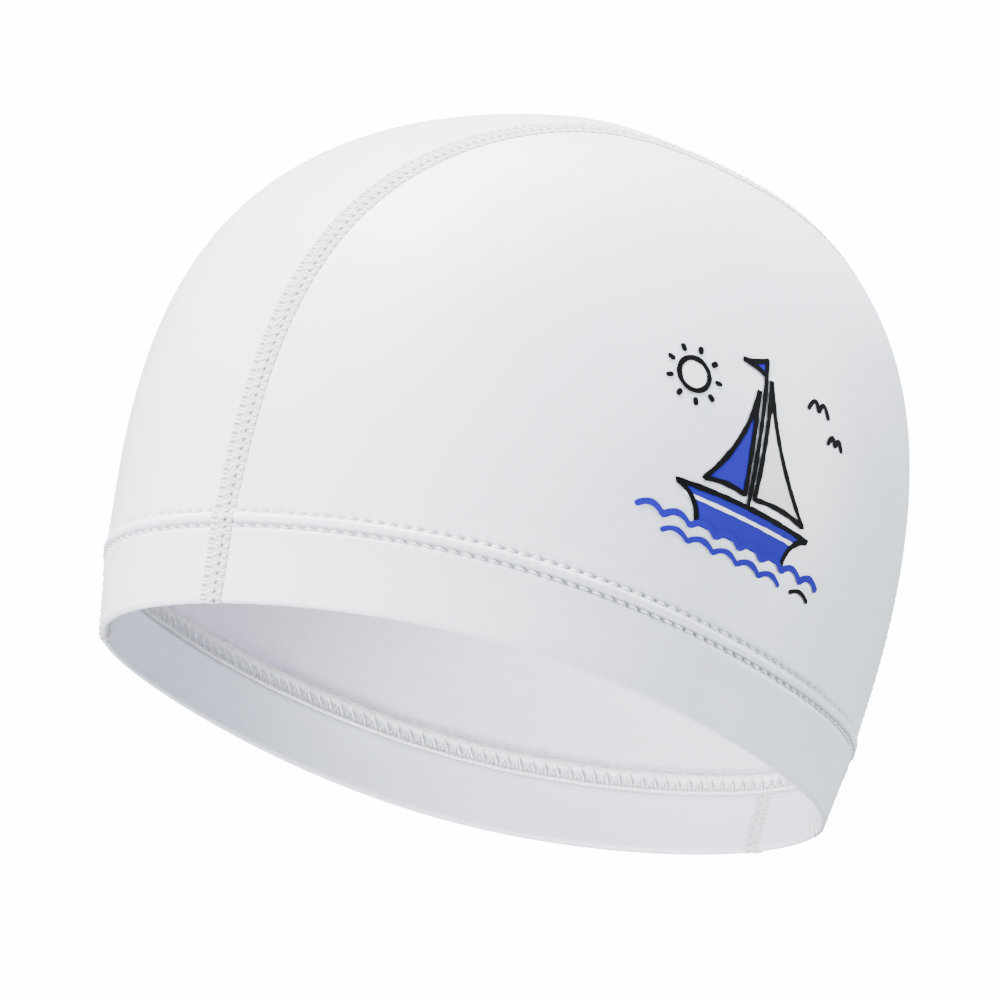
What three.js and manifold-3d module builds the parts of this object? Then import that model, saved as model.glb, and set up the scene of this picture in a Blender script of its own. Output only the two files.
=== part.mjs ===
import * as THREE from 'three';
import { ParametricGeometry } from 'three/addons/geometries/ParametricGeometry.js';
import { mergeVertices } from 'three/addons/utils/BufferGeometryUtils.js';
import Module from 'manifold-3d';

const wasm = await Module();
wasm.setup();

// A swim cap of coated stretch cloth, in the shape that it has on a head.
// Millimetres. X points to the wearer's left, Y to the back of the head and Z up.
// The origin is the middle of the opening that the head goes into.

// The opening and the crown
const rimHalfLength = 98;
const rimHalfWidth = 85;
const crownHeight = 160;
const rimLift = 6.4;

// The cloth and its turned-up hem
const clothThickness = 1;
const hemDepth = 22.5;
const cutEdgeWidth = 2.3;
const cutEdgeSwell = 0.4;

// The cover stitch that holds the hem: two needle rows outside, looper threads inside
const needleRowHeight = 19.7;
const needleRowGap = 3.6;
const ridgeHeight = 0.8;
const looperBandWidth = 4.4;
const threadThickness = 0.7;

// The centre panel, from seam to seam, and the flat seam along each of its edges
const stripWidthFront = 66;
const stripWidthBack = 34.5;
const stripWidthTop = 89.5;
const stripTaperLength = 92;
const stripBackFlare = 0.12;
const seamBandWidth = 6.4;
const seamBandThickness = 1.1;

// Clearance between pieces that lie on each other
const pieceGap = 0.3;

// How the wall goes out from the rim and turns in to the crown, each way from the middle.
// swell: how much wider it is at half height, as a share of half. rise and reach: the powers of
// its curve, upwards and outwards, where 2 and 2 are a quarter of an ellipse. rimPinch takes a share
// off the rim between these directions, and backWidening adds one to the width towards the back.
const ways = {
  front: { half: rimHalfLength, swell: 0.063, rise: 4.2, reach: 1.8 },
  back: { half: rimHalfLength, swell: 0.065, rise: 4.2, reach: 3.28 },
  side: { half: rimHalfWidth, swell: 0.052, rise: 3, reach: 2.7 },
};
const rimPinch = 0.031;
const backWidening = 0.026;

// The ridge that the cover stitch draws up between its needle rows.
// up: height over the lower needle row, as a share of needleRowGap. out: share of ridgeHeight.
const ridgeRows = [
  { up: 1.4, out: 0 },
  { up: 1, out: -0.25 },
  { up: 0.75, out: 0.75 },
  { up: 0.5, out: 1 },
  { up: 0.25, out: 0.75 },
  { up: 0, out: -0.25 },
  { up: -0.4, out: 0 },
];

// How finely the curved surfaces are divided
const turnSteps = 64;
const crownSteps = 18;
const seamSteps = 32;
const shoulderShare = 0.9;
const foldSteps = 4;
const cutterSteps = 28;

const cloth = new THREE.MeshStandardMaterial({ color: 0xe8edf1, roughness: 0.42, metalness: 0 });
const thread = new THREE.MeshStandardMaterial({ color: 0xf1f1ee, roughness: 0.8, metalness: 0 });

const { clamp, lerp, smoothstep } = THREE.MathUtils;

// How far the wall stands from the middle in one direction, at a share of the crown's height.
function standOff({ half, swell, rise, reach }, share) {
  const left = Math.max(1 - Math.abs(share) ** rise, 0);
  return half * (1 + swell * 4 * share * (1 - share)) * left ** (1 / reach);
}

// The cap's smooth outer skin. turn goes round it from the wearer's left side, with the face at
// minus a quarter turn, and rise runs from 0 at the rim to 1 at the top of the crown.
function skinPoint(turn, rise) {
  const share = Math.sin((rise * Math.PI) / 2);
  const along = Math.sin(turn);
  const length = lerp(
    standOff(ways.front, share),
    standOff(ways.back, share),
    smoothstep(along, -1, 1),
  );
  const pinch = 1 - rimPinch * (1 - share) * Math.sin(2 * turn) ** 2;
  const width = standOff(ways.side, share) * (1 + backWidening * along);
  return new THREE.Vector3(width * Math.cos(turn), length * along, 0)
    .multiplyScalar(pinch)
    .setZ(crownHeight * share);
}

const riseOf = (height) => (Math.asin(height / crownHeight) * 2) / Math.PI;

function skinNormal(turn, rise) {
  const step = 1e-3;
  if (rise > 1 - step) return new THREE.Vector3(0, 0, 1);
  const around = skinPoint(turn + step, rise).sub(skinPoint(turn - step, rise));
  const up = skinPoint(turn, rise + step).sub(skinPoint(turn, rise - step));
  return around.cross(up).normalize();
}

const offSkin = (turn, rise, out) =>
  skinPoint(turn, rise).addScaledVector(skinNormal(turn, rise), out);

// Half the width of the centre panel at a place on the cap. It narrows quickly from the top of the
// crown backwards, over stripTaperLength. From the back rim upwards it flares a little at first,
// by stripBackFlare on each side for each millimetre of height.
function stripHalfWidth(y, height) {
  const towardsFront = (1 - y / rimHalfLength) / 2;
  const atRim = lerp(stripWidthBack, stripWidthFront, towardsFront) / 2;
  const share = clamp(height / crownHeight, 0, 1);
  const overFace = lerp(atRim, stripWidthTop / 2, share);
  const atBack = stripWidthBack / 2 + stripBackFlare * crownHeight * share * (1 - share);
  return lerp(overFace, atBack, smoothstep(y, 0, stripTaperLength) ** 1.3);
}

// The rim rises at the temples and drops behind the ears.
function liftRim(point) {
  const share = Math.max(1 - point.z / crownHeight, 0);
  const lean = (point.x / rimHalfWidth) ** 2 * (point.y / rimHalfLength);
  point.z -= rimLift * lean * share ** 1.5;
  return point;
}

// A closed solid from a geometry. Points that coincide are joined and empty triangles dropped.
function solidOf(geometry) {
  geometry.deleteAttribute('normal');
  geometry.deleteAttribute('uv');
  const joined = mergeVertices(geometry);
  const corners = joined.index.array;
  const kept = [];
  for (let i = 0; i < corners.length; i += 3) {
    const [a, b, c] = corners.subarray(i, i + 3);
    if (a !== b && b !== c && c !== a) kept.push(a, b, c);
  }
  return new wasm.Manifold(new wasm.Mesh({
    numProp: 3,
    vertProperties: new Float32Array(joined.attributes.position.array),
    triVerts: new Uint32Array(kept),
  }));
}

function meshOf(name, solid, material) {
  const { vertProperties, triVerts, numProp } = solid.getMesh();
  const position = new Float32Array((vertProperties.length / numProp) * 3);
  for (let i = 0; i < position.length / 3; i += 1) {
    const start = i * numProp;
    const point = new THREE.Vector3().fromArray(vertProperties, start);
    liftRim(point).toArray(position, i * 3);
  }
  const geometry = new THREE.BufferGeometry();
  geometry.setAttribute('position', new THREE.BufferAttribute(position, 3));
  geometry.setIndex(new THREE.BufferAttribute(new Uint32Array(triVerts), 1));
  geometry.computeVertexNormals();
  const mesh = new THREE.Mesh(geometry, material);
  mesh.name = name;
  return mesh;
}

// A shell right round the cap, from a list of rows of one rise and one distance off the skin.
function shellOf(rows) {
  const place = (u, v, target) => {
    const row = rows[Math.round(v * (rows.length - 1))];
    target.copy(offSkin(-u * 2 * Math.PI, row.rise, row.out));
  };
  return solidOf(new ParametricGeometry(place, turnSteps, rows.length - 1));
}

// Rows from the top of the crown down to a height, or back up from it.
function crownRows(lowestHeight, out) {
  const lowest = riseOf(lowestHeight);
  return Array.from({ length: crownSteps + 1 }, (_, i) => ({
    rise: lerp(1, lowest, i / crownSteps),
    out,
  }));
}

const ridgeHeights = ridgeRows.map(({ up }) => needleRowHeight + up * needleRowGap);
const ridgeOuts = ridgeRows.map(({ out }) => out * ridgeHeight);

// How far the outer face stands off the smooth skin at a height.
function reliefAt(height) {
  const below = ridgeHeights.findIndex((level) => level <= height);
  if (below <= 0) return 0;
  const share = (height - ridgeHeights[below]) / (ridgeHeights[below - 1] - ridgeHeights[below]);
  return lerp(ridgeOuts[below], ridgeOuts[below - 1], share);
}

// The cloth from the top of the crown down its outer face, round the fold and up inside the hem,
// over the cut edge of the turned-up layer, and up the inner face.
function clothRows() {
  const outer = crownRows(ridgeHeights[0], 0);
  const ridge = ridgeHeights.slice(1).map((height, i) => ({
    rise: riseOf(height),
    out: ridgeOuts[i + 1],
  }));
  const fold = Array.from({ length: foldSteps + 1 }, (_, i) => {
    const angle = (Math.PI * i) / foldSteps;
    return {
      rise: riseOf(clothThickness * (1 - Math.sin(angle))),
      out: clothThickness * (Math.cos(angle) - 1),
    };
  });
  const cutEdge = [
    { rise: riseOf(hemDepth - cutEdgeWidth), out: -2 * clothThickness },
    { rise: riseOf(hemDepth - cutEdgeWidth / 2), out: -2 * clothThickness - cutEdgeSwell },
    { rise: riseOf(hemDepth), out: -1.8 * clothThickness },
  ];
  const inner = crownRows(hemDepth + clothThickness / 5, -clothThickness).reverse();
  return [...outer, ...ridge, ...fold, ...cutEdge, ...inner];
}

// A block between the two seam walls, made wider or narrower by twice a margin.
function stripBlock(margin) {
  const length = 4 * rimHalfLength;
  const height = 2 * crownHeight;
  const block = new THREE.BoxGeometry(2, length, height, 1, cutterSteps, cutterSteps);
  const position = block.attributes.position;
  for (let i = 0; i < position.count; i += 1) {
    const halfWidth = stripHalfWidth(position.getY(i), position.getZ(i) + crownHeight / 2) + margin;
    position.setX(i, Math.sign(position.getX(i)) * halfWidth);
  }
  block.translate(0, 0, crownHeight / 2);
  return solidOf(block);
}

// Everything on the wearer's left, for side 1, or right, for side -1.
function sideBlock(side) {
  const size = 4 * rimHalfLength;
  return solidOf(new THREE.BoxGeometry(size, size, size).translate((side * size) / 2, 0, 0));
}

// The value up to which a test holds, between one where it does and one where it doesn't.
function lastWhere(holds, from, to) {
  let [good, bad] = [from, to];
  for (let i = 0; i < 40; i += 1) {
    const middle = (good + bad) / 2;
    if (holds(middle)) good = middle;
    else bad = middle;
  }
  return good;
}

// Places along a seam from the front of the rim, over the crown, to the back: close together over
// the hem, where its band climbs the ridge, then by height up to the crown's shoulder, and by turn
// over the top, where the seam runs nearly level.
function seamPlaces(side) {
  const isOutsideStrip = (turn, rise) => {
    const point = skinPoint(turn, rise);
    return point.x > stripHalfWidth(point.y, point.z);
  };
  const shoulderRise = riseOf(shoulderShare * crownHeight);
  const hemRises = [clothThickness, ...ridgeHeights.toReversed()].map(riseOf);
  const wallRises = Array.from({ length: seamSteps / 2 }, (_, i) =>
    lerp(hemRises.at(-1), shoulderRise, (i + 1) / (seamSteps / 2)));
  const legTo = (quarterTurn) => {
    const wall = [...hemRises, ...wallRises].map((rise) => ({
      turn: lastWhere((angle) => isOutsideStrip(angle, rise), 0, quarterTurn),
      rise,
    }));
    const over = Array.from({ length: seamSteps / 2 }, (_, i) => {
      const turn = wall.at(-1).turn * (1 - (i + 1) / (seamSteps / 2));
      return { turn, rise: lastWhere((rise) => isOutsideStrip(turn, rise), 0, 1) };
    });
    return [...wall, ...over];
  };
  const front = legTo(-Math.PI / 2);
  const back = legTo(Math.PI / 2).reverse();
  return [...front, ...back.slice(1)].map(({ turn, rise }) => (
    { turn: side > 0 ? turn : Math.PI - turn, rise }));
}

// A flat bar bent along the seam, so that it lies over the joint of two panels.
function seamBand(side) {
  const places = seamPlaces(side);
  const centres = places.map(({ turn, rise }) => skinPoint(turn, rise));
  const bar = new THREE.BoxGeometry(seamBandWidth, 1, seamBandThickness, 1, places.length - 1, 1);
  const position = bar.attributes.position;
  for (let i = 0; i < position.count; i += 1) {
    const step = Math.round((position.getY(i) + 0.5) * (places.length - 1));
    const { turn, rise } = places[step];
    const ahead = centres[Math.min(step + 1, places.length - 1)];
    const behind = centres[Math.max(step - 1, 0)];
    const normal = skinNormal(turn, rise);
    const across = ahead.clone().sub(behind).cross(normal).normalize();
    const relief = Math.max(reliefAt(centres[step].z), 0);
    const out = relief + pieceGap + seamBandThickness / 2 + position.getZ(i);
    const point = centres[step].clone()
      .addScaledVector(across, position.getX(i))
      .addScaledVector(normal, out);
    position.setXYZ(i, point.x, point.y, point.z);
  }
  return solidOf(bar);
}

// The band of looper threads inside the hem, below the cut edge of the turned-up layer.
function looperBand() {
  const top = riseOf(hemDepth - cutEdgeWidth);
  const bottom = riseOf(hemDepth - cutEdgeWidth - looperBandWidth);
  const outer = -2 * clothThickness - pieceGap;
  const inner = outer - threadThickness;
  return shellOf([
    { rise: top, out: inner },
    { rise: top, out: outer },
    { rise: bottom, out: outer },
    { rise: bottom, out: inner },
    { rise: top, out: inner },
  ]);
}

function cap() {
  const wall = shellOf(clothRows());
  const sides = wall.subtract(stripBlock(pieceGap / 2));
  const pieces = [
    ['centre_panel', wall.intersect(stripBlock(-pieceGap / 2)), cloth],
    ['left_panel', sides.intersect(sideBlock(1)), cloth],
    ['right_panel', sides.intersect(sideBlock(-1)), cloth],
    ['left_seam', seamBand(1), thread],
    ['right_seam', seamBand(-1), thread],
    ['hem_stitch', looperBand(), thread],
  ];
  const group = new THREE.Group();
  for (const [name, solid, material] of pieces) group.add(meshOf(name, solid, material));
  return group;
}

const group = cap();

export default group;
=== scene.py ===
import math

import bmesh
import bpy
import numpy as np
from mathutils import Matrix, Vector


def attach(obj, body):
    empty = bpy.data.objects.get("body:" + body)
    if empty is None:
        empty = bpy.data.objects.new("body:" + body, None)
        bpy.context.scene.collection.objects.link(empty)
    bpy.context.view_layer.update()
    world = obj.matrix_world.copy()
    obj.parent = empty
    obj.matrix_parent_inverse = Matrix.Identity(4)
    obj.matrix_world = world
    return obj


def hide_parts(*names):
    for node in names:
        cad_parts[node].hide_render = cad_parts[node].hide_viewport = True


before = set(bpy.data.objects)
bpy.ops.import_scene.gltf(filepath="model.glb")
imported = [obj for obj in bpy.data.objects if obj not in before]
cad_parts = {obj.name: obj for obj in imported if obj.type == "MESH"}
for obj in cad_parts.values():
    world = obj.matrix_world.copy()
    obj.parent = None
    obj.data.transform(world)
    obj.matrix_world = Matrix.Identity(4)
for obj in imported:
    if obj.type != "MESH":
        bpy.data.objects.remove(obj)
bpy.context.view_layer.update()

# A swim cap of coated stretch cloth, in the shape that it has when it is worn.
# Sizes in the dictionaries are millimetres; X is the wearer's left, Y the back, Z up.

cap = {
    "halfLength": 98,  # of the opening, front to back
    "halfWidth": 85,
    "crownHeight": 160,
    "rimLift": 6.4,  # the rim rises at the temples and drops behind the ears
    "rimPinch": 0.031,
    "backWidening": 0.026,
    # each outline's bulge half way up, and the two powers that round it in to the crown
    "front": {"swell": 0.063, "rise": 4.2, "reach": 1.8},
    "back": {"swell": 0.065, "rise": 4.2, "reach": 3.28},
    "side": {"swell": 0.052, "rise": 3, "reach": 2.7},
    "stripFront": 66,  # width of the centre panel at the front rim
    "stripBack": 34.5,
    "stripTop": 89.5,
    "taperLength": 92,  # behind the top of the crown the centre panel narrows over this length
    "taperPower": 1.3,
    "backFlare": 0.12,  # and flares by this much a side for each millimetre above the back rim
    "panelGap": 0.3,
}

hem = {
    "depth": 22.5,
    "cloth": 1,  # thickness of one layer
    "lowerRow": 19.7,  # height of the lower needle row
    "rowGap": 3.6,
    "pitch": 3.4,  # of the cover stitch
    "ridge": 0.85,  # how far the cloth stands up between the two needle rows
    "pucker": 0.34,  # how much deeper it is drawn in at a needle hole
    "puckerReach": 0.8,
    "pull": 0.09,  # and the wider hollow round the hole
    "pullReach": 2.4,
    "dent": 0.22,  # of the soft dents that the stitching draws into the cloth above it
    "dentHeight": 29,
    "dentReach": 7,
    "rollHeight": 2.3,  # the cut edge curls over this much at the top of the turned-up layer
    "looperHeight": 3.4,
    "belowCord": 2,  # inside, the cloth swells this far below the cord that draws it in
    "swell": 0.28,
    "swellReach": 1.3,
}
cordHeight = hem["depth"] - hem["rollHeight"] - hem["looperHeight"]

# The flat seams lift the cloth beside them a little and draw a low hollow further off
besideSeam = {"lift": 0.16, "liftReach": 5, "hollow": 0.1, "hollowAt": 9, "hollowReach": 4}

print("swim cap: skin")


def lerp(a, b, share):
    return a + (b - a) * share


def bell(distance, reach):
    return np.exp(-(distance / reach) ** 2)


def easeInOut(share):
    share = np.clip(share, 0, 1)
    return share * share * (3 - 2 * share)


def standOff(half, outline, share):
    left = np.clip(1 - np.abs(share) ** outline["rise"], 0, None)
    return half * (1 + outline["swell"] * 4 * share * (1 - share)) * left ** (1 / outline["reach"])


# Half the cap's length and width at a share of its height, towards the face (-1) or the back (1)
def lengthAt(along, share):
    front, back = (standOff(cap["halfLength"], cap[end], share) for end in ("front", "back"))
    return lerp(front, back, easeInOut((along + 1) / 2))


def widthAt(along, share):
    return standOff(cap["halfWidth"], cap["side"], share) * (1 + cap["backWidening"] * along)


# turn goes round the cap from the wearer's left side, with the face at minus a quarter turn,
# and rise runs from 0 at the rim to 1 at the top of the crown
def skinPoint(turn, rise):
    share = np.sin(rise * math.pi / 2)
    along = np.sin(turn)
    pinch = 1 - cap["rimPinch"] * (1 - share) * np.sin(2 * turn) ** 2
    x = widthAt(along, share) * np.cos(turn) * pinch
    y = lengthAt(along, share) * along * pinch
    return np.stack([x, y, cap["crownHeight"] * share + 0 * x], -1)


def riseOf(height):
    return np.arcsin(np.asarray(height, float) / cap["crownHeight"]) * 2 / math.pi


def unit(v):
    return v / np.maximum(np.linalg.norm(v, axis=-1, keepdims=True), 1e-9)


def lengthsAlong(points):
    return np.concatenate([[0], np.cumsum(np.linalg.norm(np.diff(points, axis=0), axis=1))])


def skinNormal(turn, rise):
    step = 1e-3
    around = skinPoint(turn + step, rise) - skinPoint(turn - step, rise)
    up = skinPoint(turn, rise + step) - skinPoint(turn, rise - step)
    normal = unit(np.cross(around, up))
    normal[rise + 0 * turn > 1 - step] = (0, 0, 1)
    return normal


def offSkin(turn, rise, out):
    turn, rise, out = np.broadcast_arrays(*(np.asarray(v, float) for v in (turn, rise, out)))
    return skinPoint(turn, rise) + skinNormal(turn, rise) * out[..., None]


def stripHalfWidth(y, height):
    towardsFront = (1 - y / cap["halfLength"]) / 2
    atRim = lerp(cap["stripBack"], cap["stripFront"], towardsFront) / 2
    share = np.clip(height / cap["crownHeight"], 0, 1)
    atBack = cap["stripBack"] / 2 + cap["backFlare"] * cap["crownHeight"] * share * (1 - share)
    behind = easeInOut(y / cap["taperLength"]) ** cap["taperPower"]
    return lerp(lerp(atRim, cap["stripTop"] / 2, share), atBack, behind)


def liftRim(points):
    share = np.clip(1 - points[..., 2] / cap["crownHeight"], 0, None)
    lean = (points[..., 0] / cap["halfWidth"]) ** 2 * points[..., 1] / cap["halfLength"]
    points = points.copy()
    points[..., 2] -= cap["rimLift"] * lean * share ** 1.5
    return points


def bisect(isHigh, low, high, steps=44):
    low, high = np.array(low, float), np.array(high, float)
    for _ in range(steps):
        middle = (low + high) / 2
        above = isHigh(middle)
        high = np.where(above, middle, high)
        low = np.where(above, low, middle)
    return (low + high) / 2


# share: of the way from the cap's middle line to the seam on the wearer's left
def isOnStrip(turn, rise, share, widen):
    point = skinPoint(turn, rise)
    return point[..., 0] < share * (stripHalfWidth(point[..., 1], point[..., 2]) + widen)


# The turn at which the skin at a rise is that share of the way, on the face side (-1) or the
# back (1)
def turnOnStrip(share, rise, end, widen=0):
    share, rise = np.broadcast_arrays(*(np.asarray(v, float) for v in (share, rise)))
    return end * bisect(lambda angle: isOnStrip(end * angle, rise, share, widen),
                        0 * rise, 0 * rise + math.pi)


# The rise at which that seam crosses a turn over the crown
def seamRise(turn, widen=0):
    turn = np.asarray(turn, float)
    return bisect(lambda rise: isOnStrip(turn, rise, 1, widen), 0 * turn, 0 * turn + 1)


# Distance round the hem, in whole stitches, so that all its threads and puckers agree
ringTurns = np.linspace(-math.pi, math.pi, 2881)
ringPoints = skinPoint(ringTurns, riseOf(hem["lowerRow"] + hem["rowGap"] / 2))
ringLengths = lengthsAlong(ringPoints)
stitchCount = round(ringLengths[-1] / hem["pitch"])


def stitchesAt(turn):
    turn = (np.asarray(turn) + math.pi) % (2 * math.pi) - math.pi
    return np.interp(turn, ringTurns, ringLengths) / ringLengths[-1] * stitchCount


def turnAtStitch(stitch):
    share = (np.asarray(stitch, float) / stitchCount) % 1
    return np.interp(share * ringLengths[-1], ringLengths, ringTurns)


# Slow, even unrest for cloth and thread: a sum of a few waves, so it is the same on each run
def sway(place, seed=0.0):
    return (np.sin(place * 0.37 + seed) + np.sin(place * 0.83 + 2.1 * seed + 1)
            + np.sin(place * 1.61 + 3.3 * seed + 2)) / 3


# How the cover stitch shapes the coated face: height over the lower needle row in row gaps,
# and distance off the skin in ridge heights
ridgeProfile = [
    {"up": -3.4, "out": 0.0},
    {"up": -1.5, "out": 0.1},
    {"up": -0.62, "out": 0.42},
    {"up": -0.3, "out": 0.4},
    {"up": 0.0, "out": -0.42},
    {"up": 0.17, "out": 0.35},
    {"up": 0.34, "out": 0.92},
    {"up": 0.56, "out": 1.0},
    {"up": 0.8, "out": 0.62},
    {"up": 1.0, "out": -0.3},
    {"up": 1.16, "out": 0.04},
    {"up": 1.5, "out": 0.12},
    {"up": 2.6, "out": 0.0},
]


def smoothTable(xs, ys, x):  # cubic through the rows, flat at both ends
    xs, ys = np.asarray(xs, float), np.asarray(ys, float)
    slopes = np.zeros(len(xs))
    slopes[1:-1] = (ys[2:] - ys[:-2]) / (xs[2:] - xs[:-2])
    x = np.clip(x, xs[0], xs[-1])
    i = np.clip(np.searchsorted(xs, x) - 1, 0, len(xs) - 2)
    width = xs[i + 1] - xs[i]
    t = (x - xs[i]) / width
    return ((2 * t**3 - 3 * t**2 + 1) * ys[i] + (t**3 - 2 * t**2 + t) * width * slopes[i]
            + (3 * t**2 - 2 * t**3) * ys[i + 1] + (t**3 - t**2) * width * slopes[i + 1])


def relief(turn, height):
    stitch = stitchesAt(turn)
    up = (height - hem["lowerRow"]) / hem["rowGap"]
    unevenness = 1 + 0.1 * sway(stitch, 1.3)
    out = hem["ridge"] * unevenness * smoothTable(
        [row["up"] for row in ridgeProfile], [row["out"] for row in ridgeProfile], up)
    pulled = 0.5 + 0.5 * np.cos(2 * math.pi * stitch)  # 1 at a needle hole
    for row in (0, 1):
        away = (up - row) * hem["rowGap"]
        out = out - hem["pucker"] * bell(away, hem["puckerReach"]) * (pulled - 0.3)
        out = out - hem["pull"] * bell(away, hem["pullReach"]) * (pulled - 0.5)
    dents = bell(height - hem["dentHeight"], hem["dentReach"]) * sway(stitch * 0.55, 2.2)
    point = skinPoint(turn, riseOf(height))
    aside = np.abs(point[..., 0]) - stripHalfWidth(point[..., 1], point[..., 2])
    lift = besideSeam["lift"] * bell(aside, besideSeam["liftReach"])
    hollow = besideSeam["hollow"] * bell(np.abs(aside) - besideSeam["hollowAt"], besideSeam["hollowReach"])
    return out + hem["dent"] * dents + lift - hollow


# The coated face of the cloth, row by row: down the outside from the top of a panel, round the
# fold and up the inside of the hem to the cut edge. Each row is a height and a distance inwards.
def hemRows():
    upper = hem["lowerRow"] + 3.2 * hem["rowGap"]
    fine = np.arange(upper, hem["lowerRow"] - 2.2 * hem["rowGap"], -0.42)
    plain = np.linspace(fine[-1] - 0.6, hem["cloth"] * 1.2, 9)
    angle = np.linspace(0, math.pi, 9)
    fold = hem["cloth"] * (1 - np.sin(angle))
    foldIn = hem["cloth"] * (1 - np.cos(angle))
    inner = np.concatenate([np.linspace(*ends) for ends in (
        (1.6, cordHeight - 2.6, 8), (cordHeight - 2, cordHeight + 0.8, 8),
        (cordHeight + 1.6, hem["depth"] - 0.9, 4))])
    heights = np.concatenate([fine, plain, fold, inner])
    depths = np.concatenate([0 * fine, 0 * plain, foldIn, 0 * inner + 2 * hem["cloth"]])
    return heights, depths


def coatedFace(turn, rise, depth):
    height = cap["crownHeight"] * np.sin(rise * math.pi / 2)
    swell = hem["swell"] * bell(height - cordHeight + hem["belowCord"], hem["swellReach"])
    swell = swell * (depth > hem["cloth"])
    return liftRim(offSkin(turn, rise, np.where(depth > 0, -depth - swell, relief(turn, height))))


# A grid of the operator's own quads, moved onto the cap and given millimetre UVs.
# shades, from 0 to 1, darken its material as painted shade.
def gridOn(points, shades):
    rows, columns = points.shape[:2]
    bm = bmesh.new()
    shade = bm.verts.layers.float.new("shade")
    bmesh.ops.create_grid(bm, x_segments=columns - 1, y_segments=rows - 1, size=0.5)
    bm.verts.ensure_lookup_table()
    across = np.cumsum(np.linalg.norm(np.diff(points, axis=1, prepend=points[:, :1]), axis=2), axis=1)
    across = across - across[:, [columns // 2]]
    down = np.cumsum(np.linalg.norm(np.diff(points, axis=0, prepend=points[:1]), axis=2), axis=0)
    down = np.repeat(down[:, [columns // 2]], columns, axis=1)
    place = {}
    for vertex in bm.verts:
        column = round((vertex.co.x + 0.5) * (columns - 1))
        row = round((0.5 - vertex.co.y) * (rows - 1))
        place[vertex.index] = (row, column)
        vertex.co = points[row, column] * 0.001
        vertex[shade] = shades[row, column]
    uv = bm.loops.layers.uv.new("millimetres")
    for face in bm.faces:
        face.smooth = True
        for loop in face.loops:
            row, column = place[loop.vert.index]
            loop[uv].uv = (across[row, column], down[row, column])
    return bm


def addPiece(name, mesh, materials, nodes):
    piece = bpy.data.objects.new(name, mesh)
    bpy.context.collection.objects.link(piece)
    for material in materials:
        mesh.materials.append(material)
    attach(piece, "root")
    if nodes:
        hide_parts(*nodes)
    return piece


def newPiece(name, bm, materials, nodes):
    mesh = bpy.data.meshes.new(name)
    bm.to_mesh(mesh)
    bm.free()
    return addPiece(name, mesh, materials, nodes)


print("swim cap: materials")


def fromHex(text):
    parts = [int(text[i:i + 2], 16) / 255 for i in (0, 2, 4)]
    return tuple(c / 12.92 if c <= 0.04045 else ((c + 0.055) / 1.055) ** 2.4 for c in parts) + (1,)


# stops, for a ramp: the place and colour of each of its two ends
def addNode(tree, kind, settings=(), links=()):
    node = tree.nodes.new(kind)
    for key, value in dict(settings).items():
        if key == "stops":
            for end, (position, color) in zip(node.color_ramp.elements, value):
                end.position, end.color = position, fromHex(color)
        elif isinstance(key, str) and hasattr(node, key):
            setattr(node, key, value)
        else:
            node.inputs[key].default_value = value
    for key, source in dict(links).items():
        tree.links.new(source, node.inputs[key])
    return node


def newMaterial(name, color, roughness, settings=()):
    material = bpy.data.materials.new(name)
    material.use_nodes = True
    shader = material.node_tree.nodes["Principled BSDF"]
    shader.inputs["Base Color"].default_value = fromHex(color)
    shader.inputs["Roughness"].default_value = roughness
    for key, value in dict(settings).items():
        shader.inputs[key].default_value = value
    return material, material.node_tree, shader


# Polyurethane coating on stretch knit: the smooth film gives a soft, wide gloss, and the knit
# under it a grain of about half a millimetre that only shows where light grazes it. Painted shade
# darkens its colour at the needle holes, along the crease lines beside the stitches and under the looper
# cord.
def coatedCloth():
    material, tree, shader = newMaterial("polyurethane_coating", "EBF1F8", 0.43, {
        "Sheen Weight": 0.12, "Sheen Roughness": 0.5, "Coat Weight": 0.05, "Coat Roughness": 0.35})
    place = addNode(tree, "ShaderNodeTexCoord").outputs["Object"]
    grain = addNode(tree, "ShaderNodeTexNoise", {"Scale": 1900, "Detail": 3, "Roughness": 0.6},
                    {"Vector": place})
    cells = addNode(tree, "ShaderNodeTexVoronoi", {"Scale": 1500}, {"Vector": place})
    cloud = addNode(tree, "ShaderNodeTexNoise", {"Scale": 28, "Detail": 4, "Roughness": 0.55},
                    {"Vector": place})
    both = addNode(tree, "ShaderNodeMath", {"operation": "ADD"},
                   {0: grain.outputs["Fac"], 1: cells.outputs["Distance"]})
    fine = addNode(tree, "ShaderNodeBump", {"Strength": 0.14, "Distance": 0.00012},
                   {"Height": both.outputs[0]})
    soft = addNode(tree, "ShaderNodeBump", {"Strength": 0.25, "Distance": 0.0006},
                   {"Height": cloud.outputs["Fac"], "Normal": fine.outputs["Normal"]})
    tree.links.new(soft.outputs["Normal"], shader.inputs["Normal"])
    tone = addNode(tree, "ShaderNodeValToRGB", {"stops": ((0.3, "E6EDF5"), (0.75, "ECF3FA"))},
                   {"Fac": cloud.outputs["Fac"]})
    # Painted shade from the shade attribute: white where there is none, down to 85878C at its darkest
    shade = addNode(tree, "ShaderNodeAttribute", {"attribute_name": "shade"})
    crease = addNode(tree, "ShaderNodeValToRGB", {"stops": ((0, "FFFFFF"), (1, "85878C"))},
                     {"Fac": shade.outputs["Fac"]})
    shaded = addNode(tree, "ShaderNodeVectorMath", {"operation": "MULTIPLY"},
                     {0: tone.outputs["Color"], 1: crease.outputs["Color"]})
    tree.links.new(shaded.outputs["Vector"], shader.inputs["Base Color"])
    gloss = addNode(tree, "ShaderNodeMapRange", {"From Min": 0.3, "From Max": 0.7, "To Min": 0.39,
                    "To Max": 0.48}, {"Value": cloud.outputs["Fac"]})
    tree.links.new(gloss.outputs["Result"], shader.inputs["Roughness"])
    return material


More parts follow.
